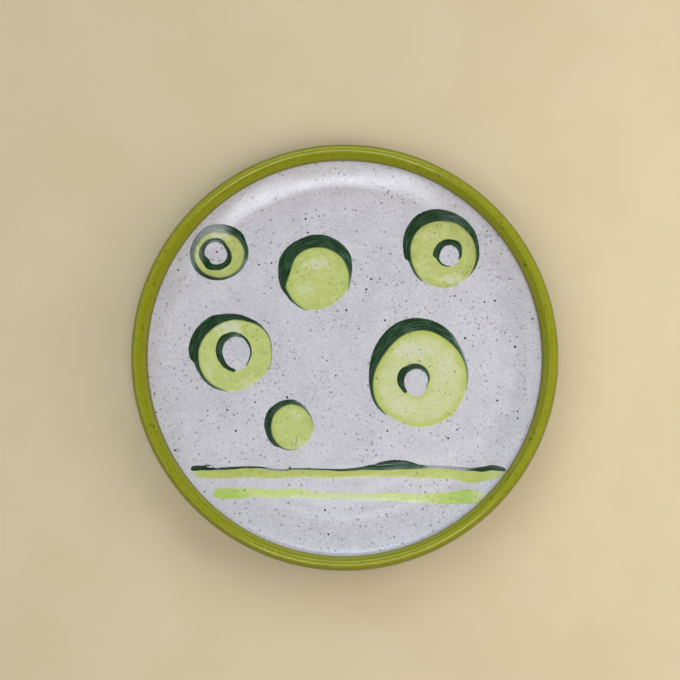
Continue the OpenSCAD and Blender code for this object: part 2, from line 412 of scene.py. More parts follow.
class Graph(Nodes):
    """A material under construction."""

    def __init__(self, name):
        self.material = bpy.data.materials.new(name)
        super().__init__(self.material)
        self.shader = self.add("ShaderNodeBsdfPrincipled")
        self.put(self.add("ShaderNodeOutputMaterial").inputs[0], self.shader.outputs[0])
        self.place = self.add("ShaderNodeTexCoord").outputs["Object"]

    def mix(self, factor, a, b):
        node = self.add("ShaderNodeMix", data_type="RGBA")
        self.put(node.inputs[0], factor)
        self.put(node.inputs[6], a)
        self.put(node.inputs[7], b)
        return node.outputs[2]

    def noise(self, size_mm, detail=2.0, rough=0.5, place=None, offset=0.0):
        node = self.add("ShaderNodeTexNoise")
        where = self.place if place is None else place
        if offset:
            where = self.vector("ADD", where, (offset, offset, offset))
        self.put(node.inputs["Vector"], where)
        node.inputs["Scale"].default_value = 1 / (size_mm * MM)
        node.inputs["Detail"].default_value = detail
        node.inputs["Roughness"].default_value = rough
        return node

    def value_of(self, name):
        return self.add("ShaderNodeAttribute", attribute_name=name).outputs["Fac"]

    def cells(self, size_mm, place):
        node = self.add("ShaderNodeTexVoronoi")
        self.put(node.inputs["Vector"], place)
        node.inputs["Scale"].default_value = 1 / (size_mm * MM)
        split = self.add("ShaderNodeSeparateColor")
        self.put(split.inputs[0], node.outputs["Color"])
        return node.outputs["Distance"], split.outputs

    def dots(self, size_mm, share, radius, soft, place, crowd):
        """Scattered round spots: one in a share of the cells, with a random radius in cells."""
        distance, random = self.cells(size_mm, place)
        wanted = self.math("MULTIPLY", crowd, share)
        keep = self.math("LESS_THAN", random[0], wanted)
        reach = self.math("MULTIPLY_ADD", random[1], 0.6 * radius, 0.5 * radius)
        edge = self.math("ADD", reach, soft)
        spot = self.step(distance, reach, edge, 1.0, 0.0)
        return self.math("MULTIPLY", keep, spot)

    def specks(self):
        """Iron specks of the clay that burn through the glaze, dark ones and faint ones."""
        bend = self.noise(0.9, 1.0).outputs["Color"]
        bend = self.vector("SUBTRACT", bend, (0.5, 0.5, 0.5))
        bend = self.vector("MULTIPLY", bend, (0.6 * MM, 0.6 * MM, 0.6 * MM))
        place = self.vector("ADD", self.place, bend)
        crowd = self.step(self.noise(24, 1.0, offset=0.37).outputs["Fac"], 0.36, 0.66, 0.35, 1.65)
        big = self.dots(5.2, 0.52, 0.09, 0.06, place, crowd)
        middle = self.dots(3.0, 0.72, 0.15, 0.12, place, crowd)
        small = self.dots(1.8, 0.5, 0.17, 0.2, place, crowd)
        faint = self.step(self.noise(1.1, 1.0, offset=0.61).outputs["Fac"], 0.6, 0.78, 0.0, 0.19)
        dark = self.math("MAXIMUM", big, self.math("MULTIPLY", middle, 0.5))
        dark = self.math("MAXIMUM", dark, self.math("MULTIPLY", small, 0.27))
        return self.math("MAXIMUM", dark, faint)

    def finish_surface(self, color, roughness, bump_mm, bump_size, ior=1.5, tint=(1, 1, 1)):
        self.put(self.shader.inputs["Base Color"], color)
        self.put(self.shader.inputs["Roughness"], roughness)
        self.shader.inputs["IOR"].default_value = ior
        self.shader.inputs["Specular Tint"].default_value = (*tint, 1)
        bump = self.add("ShaderNodeBump")
        bump.inputs["Strength"].default_value = 1.0
        bump.inputs["Distance"].default_value = bump_mm * MM
        self.put(bump.inputs["Height"], self.noise(bump_size, 3.0, 0.5).outputs["Fac"])
        self.put(self.shader.inputs["Normal"], bump.outputs[0])
        return self.material


SPECK = linear(52, 42, 38)
WHITE_MAIN = linear(206, 202, 205)
WHITE_CLOUD = linear(196, 191, 195)
WHITE_PALE = linear(213, 210, 213)
WHITE_GRAIN = linear(186, 182, 185)


def white_color(g):
    """The white glaze before its specks: lilac grey with soft cloudy patches."""
    clouds = g.step(g.noise(14, 3.0, 0.6).outputs["Fac"], 0.35, 0.65)
    fine = g.step(g.noise(2.2, 2.0, 0.6, offset=0.11).outputs["Fac"], 0.4, 0.7)
    color = g.mix(clouds, WHITE_MAIN, WHITE_CLOUD)
    color = g.mix(g.math("MULTIPLY", fine, 0.5), color, WHITE_PALE)
    grain = g.step(g.noise(1.2, 2.0, 0.6, offset=0.83).outputs["Fac"], 0.4, 0.7)
    return g.mix(g.math("MULTIPLY", grain, 0.7), color, WHITE_GRAIN)


def glaze_roughness(g, low=0.16, high=0.24):
    return g.step(g.noise(9, 2.0).outputs["Fac"], 0.35, 0.65, low, high)


def white_material(name):
    g = Graph(name)
    color = g.mix(g.specks(), white_color(g), SPECK)
    return g.finish_surface(color, glaze_roughness(g), 0.01, 3.0, ior=1.75)


OLIVE_BODY = linear(128, 133, 6)
OLIVE_CROWN = linear(136, 139, 22)
# Painted light: the lip's inner wall, lighter for light thrown back onto it from the white well
OLIVE_WALL_LIGHT = linear(152, 154, 20)
OLIVE_POOL = linear(116, 114, 12)
OLIVE_STREAK = linear(160, 156, 50)
# Painted shade: the olive of the lip's outer flank, darker where it turns away from the light
OLIVE_FLANK_SHADE = linear(104, 100, 8)
# Painted shade: the grey of the crease where the white meets the olive
OLIVE_CREASE_SHADE = linear(148, 142, 128)
OLIVE_THIN = linear(150, 142, 70)
OLIVE_SPECK = linear(58, 48, 20)
RUST = linear(82, 52, 16)
# The rust spots on the lip, each as x, y and reach
RUST_SPOTS = ((92.8, 46.4, 1.3), (93.4, 47.6, 0.8), (36.5, -99.5, 1.1))
RUST_Z = 22


def olive_material(name):
    """Olive glaze: light where it thins over the crown of the lip, deep where it pools. Painted
    light lightens the lip's inner wall, and painted shade darkens the crease and the outer flank.
    """
    g = Graph(name)
    along = g.value_of("along")
    runny = g.noise(5, 3.0, 0.6)
    uneven = g.math("MULTIPLY_ADD", runny.outputs["Fac"], 3.0, -1.5)
    spot = g.math("ADD", along, uneven)
    crown = g.step(g.math("ABSOLUTE", g.math("SUBTRACT", spot, crown_s + 0.3)), 0.4, 3.2, 1.0, 0.0)
    color = g.mix(crown, OLIVE_BODY, OLIVE_CROWN)
    # Painted light: the inner wall of the lip is lightened, standing in for light reflected from
    # the white well
    painted_wall_light = g.step(along, crown_s - 3.8, crown_s - 1.6, 1.0, 0.0)
    color = g.mix(painted_wall_light, color, OLIVE_WALL_LIGHT)
    pool = g.step(along, crown_s - 10.4, crown_s - 8.8, 0.9, 0.0)
    color = g.mix(pool, color, OLIVE_POOL)
    streaks = g.step(g.noise(2.5, 3.0, 0.65, offset=0.2).outputs["Fac"], 0.42, 0.68)
    color = g.mix(g.math("MULTIPLY", streaks, 0.3), color, OLIVE_STREAK)
    # Painted shade: the olive darkens down the outer flank, beyond the crown
    outside = g.step(along, crown_s + 1.4, crown_s + 3.6, 0.0, 0.8)
    color = g.mix(outside, color, OLIVE_FLANK_SHADE)
    # Painted shade: a grey band in the crease, where the olive coat begins
    crease_shade = g.step(g.value_of("from_edge"), 0.4, 2.4, 0.95, 0.0)
    color = g.mix(crease_shade, color, OLIVE_CREASE_SHADE)
    for x, y, reach in RUST_SPOTS:
        gap = g.add("ShaderNodeVectorMath", operation="DISTANCE")
        g.put(gap.inputs[0], g.place)
        gap.inputs[1].default_value = (x * MM, y * MM, RUST_Z * MM)
        rust = g.step(gap.outputs["Value"], 0.4 * reach * MM, reach * MM, 0.8, 0.0)
        color = g.mix(rust, color, RUST)
    thin = g.step(along, olive_end_s - 1.6, olive_end_s - 0.2, 0.0, 0.6)
    color = g.mix(thin, color, OLIVE_THIN)
    color = g.mix(g.math("MULTIPLY", g.specks(), 0.8), color, OLIVE_SPECK)
    wall_gloss = g.step(along, crown_s - 3.4, crown_s - 1.4, 0.02, 0.5)
    g.put(g.shader.inputs["Specular IOR Level"], wall_gloss)
    return g.finish_surface(color, glaze_roughness(g, 0.09, 0.16), 0.012, 3.5, tint=(1, 0.95, 0.55))


CLAY_PALE = linear(204, 176, 139)
CLAY_DEEP = linear(184, 150, 112)
CLAY_SAND = linear(222, 200, 168)
CLAY_SPECK = linear(74, 48, 32)


def clay_material(name):
    """Bare buff clay of the foot: matt, sandy, with iron specks."""
    g = Graph(name)
    sand = g.noise(0.8, 4.0, 0.7).outputs["Fac"]
    tone = g.step(g.noise(18, 3.0, 0.6).outputs["Fac"], 0.3, 0.7)
    color = g.mix(tone, CLAY_PALE, CLAY_DEEP)
    color = g.mix(g.step(sand, 0.45, 0.75, 0.0, 0.5), color, CLAY_SAND)
    color = g.mix(g.specks(), color, CLAY_SPECK)
    return g.finish_surface(color, g.step(sand, 0.3, 0.7, 0.72, 0.9), 0.06, 0.7, ior=1.35)


def paint_material(name, *colors, feather, cover_loss, blotch, streak=0.5, gloss=1.5):
    """Brushed paint under a clear gloss. The pieces carry how far a point is from a free edge
    (fade, in mm), how diluted the paint is there (wash), how much of the neighbouring colour
    shows (stain), and the brush's own directions (along, across, in mm)."""
    g = Graph(name)
    washed, pale, rich, stain = (linear(*color) for color in colors)
    wash = g.value_of("wash")
    brush = g.add("ShaderNodeCombineXYZ")
    g.put(brush.inputs[0], g.math("MULTIPLY", g.value_of("along"), 0.12 * MM))
    g.put(brush.inputs[1], g.math("MULTIPLY", g.value_of("across"), 1.0 * MM))
    hair = g.noise(0.8, 2.0, 0.5, place=brush.outputs[0]).outputs["Fac"]
    pooled = g.noise(5.0, 3.0, 0.6, offset=0.29).outputs["Fac"]
    strength = g.math("SUBTRACT", 1.0, wash)
    strength = g.math("MULTIPLY_ADD", g.math("SUBTRACT", hair, 0.5), streak, strength)
    strength = g.math("MULTIPLY_ADD", g.math("SUBTRACT", pooled, 0.5), blotch, strength)
    color = g.mix(g.step(strength, -0.25, 0.6), washed, pale)
    color = g.mix(g.step(strength, 0.4, 1.15), color, rich)
    color = g.mix(g.value_of("stain"), color, stain)
    rag = g.math("SUBTRACT", g.noise(1.1, 2.0, 0.6, offset=0.53).outputs["Fac"], 0.5)
    fade = g.math("MULTIPLY_ADD", rag, 0.5, g.value_of("fade"))
    cover = g.step(fade, 0.0, feather)
    cover = g.math("MULTIPLY", cover, g.step(wash, 0.3, 1.0, 1.0, 1.0 - cover_loss))
    color = g.mix(cover, white_color(g), color)
    color = g.mix(g.math("MULTIPLY", g.specks(), 0.6), color, SPECK)
    return g.finish_surface(color, glaze_roughness(g), 0.012, 3.0, ior=gloss)


# --- Clay and glaze -----------------------------------------------------------------------------

def clay_rows():
    rows = []
    spots = np.concatenate([
        np.arange(0, crease_s - 3, 3.0), np.arange(crease_s - 3, foot_out_s - 2, 1.2),
        np.arange(foot_out_s - 2, foot_in_s + 2, 0.2), np.arange(foot_in_s + 2, end_s, 3.0),
        [end_s]])
    for s in spots:
        bare = ease(foot_out_s - 1.2, foot_out_s + 0.2, s)
        bare = bare * (1 - ease(foot_in_s - 0.2, foot_in_s + 1.2, s))
        rows.append((s, -GLAZE_T * (1 - bare), 0))
    return rows


def bottom_drop(theta):
    """How much further up the lip the olive glaze starts: it ran down less at the bottom."""
    return 1.7 * np.clip(-np.sin(theta), 0, 1) ** 2 + 0.3 * np.clip(np.sin(theta), 0, 1)


def edge_wave(seed, amplitude, first=3, count=14):
    return lambda theta: harmonics(theta, seed, amplitude, first, count)


def finish_piece(piece, material, slot, *nodes):
    piece.data.materials.append(material)
    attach(piece, BODY)
    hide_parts(*nodes)


WHITE_LAP = 0.8
OLIVE_LAP = 1.5
UNDER_LAP = 1.0
white = white_material("speckled_white_glaze")
olive = olive_material("olive_glaze")
clay = clay_material("buff_clay")

finish_piece(turned("clay", clay_rows(), still), clay, "bare_clay", "clay_body")
finish_piece(
    turned("white_well", coat_rows(0, crease_s + WHITE_LAP, 0.5, 1.5, False, False), still),
    white, "white_glaze", "well_glaze")
finish_piece(
    turned("olive_rim",
           coat_rows(crease_s - OLIVE_LAP, olive_end_s, 0.3, 0.6, True, True, OLIVE_OVER),
           lambda theta: edge_wave(21, 0.13)(theta) + bottom_drop(theta)),
    olive, "olive_glaze", "rim_glaze")
finish_piece(
    turned("white_underside", coat_rows(olive_end_s - UNDER_LAP, foot_out_s, 0.5, 1.5, False, True),
           edge_wave(22, 0.2)),
    white, "white_glaze", "underside_glaze")
finish_piece(
    turned("white_recess", coat_rows(foot_in_s, end_s, 0.5, 1.5, True, False),
           edge_wave(23, 0.2)),
    white, "white_glaze", "foot_well_glaze")

# --- Brush strokes ------------------------------------------------------------------------------

PAINT_T = 0.05
PAINT_ROUND = 1.6
CLEAR = 0.01
SUNK = 0.2
FAR = 9.0
BASE_WASH = 0.35
FILL_TURNS = 180
ARC_STEP = 0.7
LINE_STEP = 0.6
CRESCENT_TUCK = 0.8
DARK_LIFT = 0.03
INNER_LIFT = 0.09


def table(rows, at, column):
    """Column of a table of rows (place, value, value ...), read along a curve that passes
    through every row and never swings past one."""
    rows = np.array(rows, float)
    x, y = rows[:, 0], rows[:, column]
    step = np.diff(x)
    rise = np.diff(y) / step
    level = rise[:-1] * rise[1:] <= 0
    mean = np.where(level, 1.0, rise[:-1] + rise[1:])
    slope = np.concatenate([[rise[0]], np.where(level, 0.0, 2 * rise[:-1] * rise[1:] / mean),
                            [rise[-1]]])
    k = np.clip(np.searchsorted(x, at, "right") - 1, 0, len(step) - 1)
    t = np.clip((at - x[k]) / step[k], 0, 1)
    bend = t * t * (3 - 2 * t)
    return (y[k] + (y[k + 1] - y[k]) * bend + step[k] * t * (1 - t) * (
        slope[k] * (1 - t) - slope[k + 1] * t))


def round_ends(width, length, start, end):
    """Narrows a stroke to a round end. length is the distance along it, in mm."""
    reach = 0.5 * np.maximum(width, 0.2)
    out = width.copy()
    for wanted, gap in ((start, length), (end, length[-1] - length)):
        if wanted:
            t = np.clip(gap / reach, 0, 1)
            out *= np.sqrt(np.clip(1 - (1 - t) ** 2, 0.0004, 1))
    return out


class Blob:
    """A hand painted oval: its middle, half sizes, and dents or bulges (angle, mm, spread)."""

    def __init__(self, x, y, a, b, bumps=(), seed=1, rough=0.1):
        self.centre = np.array([x, y])
        self.a, self.b = a, b
        self.bumps = bumps
        self.seed = seed
        self.rough = rough

    def radius(self, theta):
        r = self.a * self.b / np.hypot(self.b * np.cos(theta), self.a * np.sin(theta))
        for angle, size, spread in self.bumps:
            gap = np.degrees((theta - math.radians(angle) + math.pi) % (2 * math.pi) - math.pi)
            r = r + size * np.exp(-0.5 * (gap / spread) ** 2)
        return r + harmonics(theta, self.seed, self.rough, 5, 14)

    def points(self, theta, extra=0.0):
        r = self.radius(theta) + extra
        return self.centre + r[..., None] * np.stack([np.cos(theta), np.sin(theta)], -1)


def node_oval(node):
    """Middle and half sizes of a CAD stroke, in mm."""
    low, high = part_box(node)
    low, high = np.array(low) / MM, np.array(high) / MM
    return (*((low + high) / 2)[:2], *((high - low) / 2)[:2])


RIM_STEPS = np.array([0.0, 0.12, 0.28, 0.5, 0.8, 1.3])


def across_steps(width, count):
    """Shares across a stroke, dense at both edges. width is a typical width in mm."""
    edge = RIM_STEPS[RIM_STEPS < 0.45 * width] / width
    middle = np.linspace(edge[-1], 1 - edge[-1], count)[1:-1]
    return np.concatenate([edge, middle, 1 - edge[::-1]])


def paint_layer(name, grid, edge, lift, values, closed=False, pole=False):
    """A thin layer of paint on the well over a grid of (x, y). edge is how far each point is
    from the layer's border, in mm, and the paint thins out towards it."""
    height = lift + CLEAR + PAINT_T * ease(0, PAINT_ROUND, edge)
    top = on_well(grid[..., 0], grid[..., 1], height)
    bottom = on_well(grid[..., 0], grid[..., 1], np.full(height.shape, -SUNK))
    return layer(name, top, bottom, values, closed, pole)


def fill_piece(name, blob, dark, hole=None, inner=None, pool=0.0, pale_spots=()):
    """The light green part of a motif. dark tells where a dark stroke lies behind its border,
    and hole and inner the opening and the small stroke round it."""
    theta = np.linspace(0, 2 * math.pi, FILL_TURNS, endpoint=False)
    turn = np.degrees(theta)
    outer = blob.points(theta)
    if hole is None:
        inner_line = np.broadcast_to(blob.centre, outer.shape)
        shares = np.concatenate([[0.0], np.linspace(0.08, 0.9, 14), 1 - RIM_STEPS[::-1] / blob.a])
        shares = np.unique(np.round(shares, 4))
        inner_dark = np.ones_like(theta)
    else:
        tuck = stroke_width(inner, turn)
        inner_line = hole.points(theta, 0.45 * tuck)
        shares = across_steps(np.mean(np.hypot(*(outer - inner_line).T)), 12)
        inner_dark = ease(0.1, 0.5, tuck)
    span = np.hypot(*(outer - inner_line).T)
    grid = inner_line[:, None] + shares[None, :, None] * (outer - inner_line)[:, None]
    to_outer = (1 - shares)[None, :] * span[:, None]
    to_inner = shares[None, :] * span[:, None] if hole is not None else np.full_like(to_outer, FAR)
    behind = ease(0.25, 0.8, stroke_width(dark, turn))[:, None]
    fade = np.minimum(to_outer + FAR * behind, to_inner + FAR * inner_dark[:, None])
    stain = behind * (1 - ease(0.0, 0.75, to_outer)) * 0.75
    wash = BASE_WASH - pool * (1 - ease(0.6, 5.0, to_outer))
    if hole is not None:
        wash = wash - 0.6 * pool * (1 - ease(0.3, 3.0, to_inner))
    for x, y, reach_x, reach_y, amount in pale_spots:
        gap_x, gap_y = grid[..., 0] - x, grid[..., 1] - y
        ripple = 0.22 * np.sin(1.1 * gap_x + 0.6 * gap_y) + 0.18 * np.sin(1.7 * gap_y - 0.8 * gap_x)
        gap = np.hypot(gap_x / reach_x, gap_y / reach_y) + ripple
        wash = wash + amount * (1 - ease(0.2, 1.0, gap))
    values = {
        "fade": fade, "stain": stain, "wash": np.broadcast_to(wash, fade.shape),
        "along": theta[:, None] * blob.a * np.ones_like(fade), "across": to_outer,
    }
    edge = np.minimum(to_outer, to_inner)
    return paint_layer(name, grid, edge, DARK_LIFT, values, True, hole is None)


def stroke_width(rows, turn):
    """Width of an arc stroke at angles in degrees, zero outside its own span."""
    start, end = rows[0][0], rows[-1][0]
    at = (turn - start) % 360 + start
    return np.where(at <= end, table(rows, np.minimum(at, end), 1), 0.0)


def arc_stroke(name, blob, rows, tuck, lift, ends, over=False):
    """A stroke that follows a blob's border from angle to angle. rows are (angle, width, wash
    at the border, wash at the far side). tuck is how far it reaches in under the border, ends
    says which of its ends are round, and over that it lies on the light green paint."""
    closed = rows[-1][0] - rows[0][0] >= 360
    middle_r = 0.5 * (blob.a + blob.b)
    count = int(math.radians(rows[-1][0] - rows[0][0]) * middle_r / ARC_STEP)
    turn = np.linspace(rows[0][0], rows[-1][0], count, endpoint=not closed)
    theta = np.radians(turn)
    width = table(rows, turn, 1)
    along = (theta - theta[0]) * middle_r
    ragged = harmonics(theta, blob.seed + 50, 0.07, 6, 16)
    width = np.maximum(width + ragged * ease(0.3, 1.5, width), 0.12)
    shape = width if closed else round_ends(width, along, *ends)
    centre_line = 0.5 * width
    near = centre_line - 0.5 * shape - tuck
    far = centre_line + 0.5 * shape
    shares = across_steps(max(1.5, float(width.mean()) + tuck), 7)
    offset = near[:, None] + shares[None, :] * (far - near)[:, None]
    r = blob.radius(theta)[:, None] + offset
    direction = np.stack([np.cos(theta), np.sin(theta)], -1)
    grid = blob.centre + r[..., None] * direction[:, None]
    to_far = far[:, None] - offset
    to_near = offset - near[:, None]
    end_gap = np.full(len(turn), FAR)
    if not closed:
        end_gap = np.minimum(along, along[-1] - along)
    wash = table(rows, turn, 2)[:, None] * (1 - shares) + table(rows, turn, 3)[:, None] * shares
    edge = np.minimum(np.minimum(to_far, to_near), end_gap[:, None])
    values = {
        "wash": wash, "along": along[:, None] * np.ones_like(offset), "across": offset,
        "fade": np.minimum(to_far if not over else to_near, end_gap[:, None] + 0.2),
        "stain": (1 - ease(0.0, 0.5, to_far)) if over else np.zeros_like(offset),
    }
    return paint_layer(name, grid, edge, lift, values, closed)


def line_stroke(name, rows, lift, values_at, seed, rough=0.07):
    """A long stroke from left to right. rows are (x, y, half width, wash), and values_at gives
    what differs from one line to the next."""
    x = np.linspace(rows[0][0], rows[-1][0], int((rows[-1][0] - rows[0][0]) / LINE_STEP))
    y = table(rows, x, 1)
    half = table(rows, x, 2)
    wash = table(rows, x, 3)
    turn = 2 * math.pi * (x - x[0]) / (x[-1] - x[0])
    y = y + harmonics(turn, seed, 0.5 * rough, 8, 30)
    half = half + harmonics(turn, seed + 1, rough, 8, 30) * ease(0.2, 1.2, half)
    along = x - x[0]
    half = round_ends(2 * np.maximum(half, 0.1), along, True, True) / 2
    shares = across_steps(max(1.2, 2 * float(half.mean())), 7)
    offset = half[:, None] * (1 - 2 * shares[None, :])
    grid = np.stack([np.broadcast_to(x[:, None], offset.shape), y[:, None] + offset], -1)
    edge_gap = half[:, None] - np.abs(offset)
    end_gap = np.minimum(along, along[-1] - along)[:, None]
    edge = np.minimum(edge_gap, end_gap)
    values = {
        "along": along[:, None] * np.ones_like(offset), "across": offset,
        "wash": wash[:, None] * np.ones_like(offset),
        "fade": edge, "stain": np.zeros_like(offset),
    }
    values.update(values_at(half[:, None] - offset, half[:, None] + offset, edge))
    return paint_layer(name, grid[:, ::-1], edge[:, ::-1], lift,
                       {k: v[:, ::-1] for k, v in values.items()})


light_paint = paint_material(
    "light_green_paint", (206, 208, 168), (191, 196, 122), (156, 165, 78), (66, 82, 28),
    feather=0.95, cover_loss=0.35, blotch=0.7)
fresh_paint = paint_material(
    "fresh_green_paint", (206, 209, 164), (193, 200, 124), (161, 176, 80), (66, 82, 28),
    feather=0.95, cover_loss=0.35, blotch=0.65)
pale_paint = paint_material(
    "pale_green_paint", (211, 213, 188), (203, 205, 156), (179, 188, 94), (84, 98, 40),
    feather=0.95, cover_loss=0.4, blotch=0.55)
dark_paint = paint_material(
    "dark_green_paint", (112, 136, 136), (54, 84, 60), (22, 50, 24), (40, 58, 14),
    feather=0.25, cover_loss=0.4, blotch=0.6, streak=2.2, gloss=1.45)
olive_paint = paint_material(
    "olive_green_paint", (206, 212, 152), (188, 195, 110), (164, 174, 82), (78, 92, 34),
    feather=0.8, cover_loss=0.3, blotch=0.6)
lime_paint = paint_material(
    "lime_green_paint", (212, 217, 164), (202, 211, 136), (168, 194, 92), (78, 92, 34),
    feather=0.9, cover_loss=0.35, blotch=0.4)

# Each crescent: (angle, width, wash at the disc, wash at the outside)
small_outline = [
    (0, 2.1, 0.45, 0.35), (25, 2.8, 0.5, 0.1), (45, 3.9, 0.5, 0.0), (65, 4.2, 0.55, 0.1),
    (85, 4.0, 0.85, 0.6), (105, 3.8, 0.95, 0.8), (130, 3.0, 0.85, 0.7), (165, 2.4, 0.75, 0.6),
    (200, 2.2, 0.5, 0.45), (215, 2.2, 0.05, 0.1), (245, 1.8, 0.0, 0.1), (270, 1.5, 0.15, 0.3),
    (300, 1.3, 0.35, 0.5), (335, 1.6, 0.6, 0.6), (360, 2.1, 0.45, 0.35)]
top_crescent = [
    (-22, 0.3, 0.7, 0.8), (0, 1.1, 0.4, 0.6), (20, 2.6, 0.35, 0.3), (40, 4.9, 0.45, 0.05),
    (60, 5.8, 0.3, 0.0), (90, 6.8, 0.15, 0.0), (120, 6.6, 0.1, 0.05), (142, 7.1, 0.1, 0.1),
    (152, 7.4, 0.1, 0.1), (163, 6.8, 0.1, 0.1),
    (180, 4.9, 0.05, 0.1), (196, 2.3, 0.05, 0.1), (218, 1.1, 0.1, 0.3),
    (240, 0.6, 0.3, 0.5), (254, 0.3, 0.5, 0.8)]
right_crescent = [
    (-42, 0.3, 0.6, 0.8), (-20, 1.0, 0.2, 0.4), (0, 1.8, 0.2, 0.4), (25, 2.5, 0.15, 0.3),
    (45, 3.5, 0.25, 0.2), (65, 4.4, 0.3, 0.25), (85, 5.6, 0.25, 0.2), (100, 6.5, 0.1, 0.0),
    (120, 6.7, 0.0, 0.0), (140, 5.8, 0.0, 0.0), (160, 4.5, 0.1, 0.1), (178, 3.6, 0.0, 0.0),
    (186, 3.2, 0.0, 0.0), (191, 1.6, 0.2, 0.3), (210, 1.3, 0.3, 0.5), (232, 0.5, 0.3, 0.6)]
left_crescent = [
    (-40, 0.2, 0.7, 0.8), (0, 0.5, 0.6, 0.8), (40, 0.7, 0.4, 0.6), (52, 1.2, 0.1, 0.3),
    (65, 1.9, 0.1, 0.1), (85, 3.0, 0.05, 0.0), (105, 4.1, 0.0, 0.0), (122, 5.8, 0.0, 0.0),
    (145, 6.2, 0.0, 0.0), (165, 5.6, 0.0, 0.0), (183, 4.3, 0.0, 0.0), (190, 2.5, 0.2, 0.2),
    (205, 1.9, 0.25, 0.5), (222, 1.4, 0.2, 0.5), (242, 0.9, 0.2, 0.5), (258, 0.4, 0.4, 0.7)]
big_crescent = [
    (-14, 0.3, 0.7, 0.9), (5, 0.8, 0.4, 0.9), (25, 1.4, 0.1, 0.9), (42, 2.6, 0.05, 0.8),
    (55, 4.2, 0.1, 0.5), (68, 5.3, 0.1, 0.1), (85, 6.2, 0.2, 0.0), (102, 7.2, 0.35, 0.0),
    (122, 7.4, 0.25, 0.0), (142, 6.5, 0.0, 0.0), (160, 4.4, 0.0, 0.0), (176, 2.6, 0.0, 0.1),
    (192, 1.9, 0.1, 0.3), (208, 1.3, 0.1, 0.3), (226, 0.5, 0.2, 0.6)]
low_crescent = [
    (-10, 0.3, 0.7, 0.9), (30, 0.6, 0.5, 0.8), (60, 1.4, 0.5, 0.7), (80, 2.2, 0.25, 0.4),
    (100, 2.7, 0.15, 0.2), (125, 3.5, 0.25, 0.1), (145, 3.8, 0.15, 0.0), (170, 3.8, 0.0, 0.0),
    (195, 3.0, 0.0, 0.0), (218, 2.3, 0.0, 0.0), (232, 1.7, 0.0, 0.0), (240, 0.8, 0.2, 0.3),
    (262, 0.5, 0.4, 0.6), (285, 0.3, 0.5, 0.8)]

# Each small stroke round a hole: (angle, width, wash at the hole, wash at the outside)
small_inner = [
    (0, 2.4, 0.15, 0.1), (30, 1.9, 0.1, 0.1), (60, 2.2, 0.3, 0.2), (95, 2.4, 0.5, 0.35),
    (125, 2.4, 0.3, 0.2), (160, 2.8, 0.1, 0.1), (190, 3.3, 0.1, 0.1), (222, 4.1, 0.0, 0.0),
    (245, 3.8, 0.0, 0.0), (270, 3.2, 0.0, 0.0), (310, 3.2, 0.05, 0.0), (360, 2.4, 0.15, 0.1)]
right_inner = [
    (-25, 0.3, 0.3, 0.1), (-8, 1.3, 0.3, 0.0), (20, 2.1, 0.35, 0.0), (42, 3.1, 0.3, 0.0),
    (60, 3.7, 0.1, 0.0), (85, 3.3, 0.0, 0.0), (120, 3.6, 0.0, 0.0), (165, 3.8, 0.0, 0.0),
    (181, 3.7, 0.1, 0.0), (190, 2.2, 0.1, 0.1), (202, 1.3, 0.1, 0.1), (235, 1.0, 0.1, 0.1),
    (272, 0.5, 0.3, 0.2)]
left_inner = [
    (-52, 0.6, 0.2, 0.1), (-15, 0.9, 0.1, 0.1), (20, 1.1, 0.1, 0.1), (45, 1.5, 0.2, 0.1),
    (70, 1.7, 0.5, 0.2), (90, 2.4, 0.6, 0.3), (110, 3.3, 0.5, 0.2), (135, 3.9, 0.3, 0.1),
    (165, 3.8, 0.3, 0.1), (200, 3.3, 0.1, 0.1), (225, 2.9, 0.0, 0.0), (250, 2.1, 0.0, 0.0),
    (270, 1.8, 0.0, 0.0)]
big_inner = [
    (-38, 0.3, 0.4, 0.2), (-5, 0.6, 0.3, 0.1), (20, 1.3, 0.5, 0.1), (45, 1.9, 0.6, 0.1),
    (70, 2.7, 0.5, 0.1), (95, 3.0, 0.2, 0.0), (120, 3.4, 0.0, 0.0), (145, 4.1, 0.0, 0.0),
    (170, 4.0, 0.1, 0.1), (190, 3.3, 0.2, 0.0), (210, 2.4, 0.0, 0.0), (229, 2.1, 0.0, 0.0)]


def motif(key, back, crescent, paint, blob, hole=None, inner=None, rounded=(False, False),
          **look):
    """One painted dot: its dark back stroke, its light green disc or ring and, on a ring, the
    small dark stroke round its hole. rounded says which ends of the small stroke are round.
    pool is how much richer the paint is at its edges, and pale_spots are patches where it is
    thin: (x, y, reach in x, reach in y, amount)."""
    finish_piece(
        arc_stroke(f"{key}_{back}_stroke", blob, crescent, CRESCENT_TUCK, 0.0, (False, False)),
        dark_paint, "dark_green_paint", f"{key}_{back}")
    finish_piece(
        fill_piece(f"{key}_fill_stroke", blob, crescent, hole, inner, **look),
        paint, "light_green_paint", f"{key}_fill")
    if hole is not None:
        finish_piece(
            arc_stroke(f"{key}_inner_stroke", hole, inner, 0.0, INNER_LIFT, rounded, True),
            dark_paint, "dark_green_paint", f"{key}_inner")


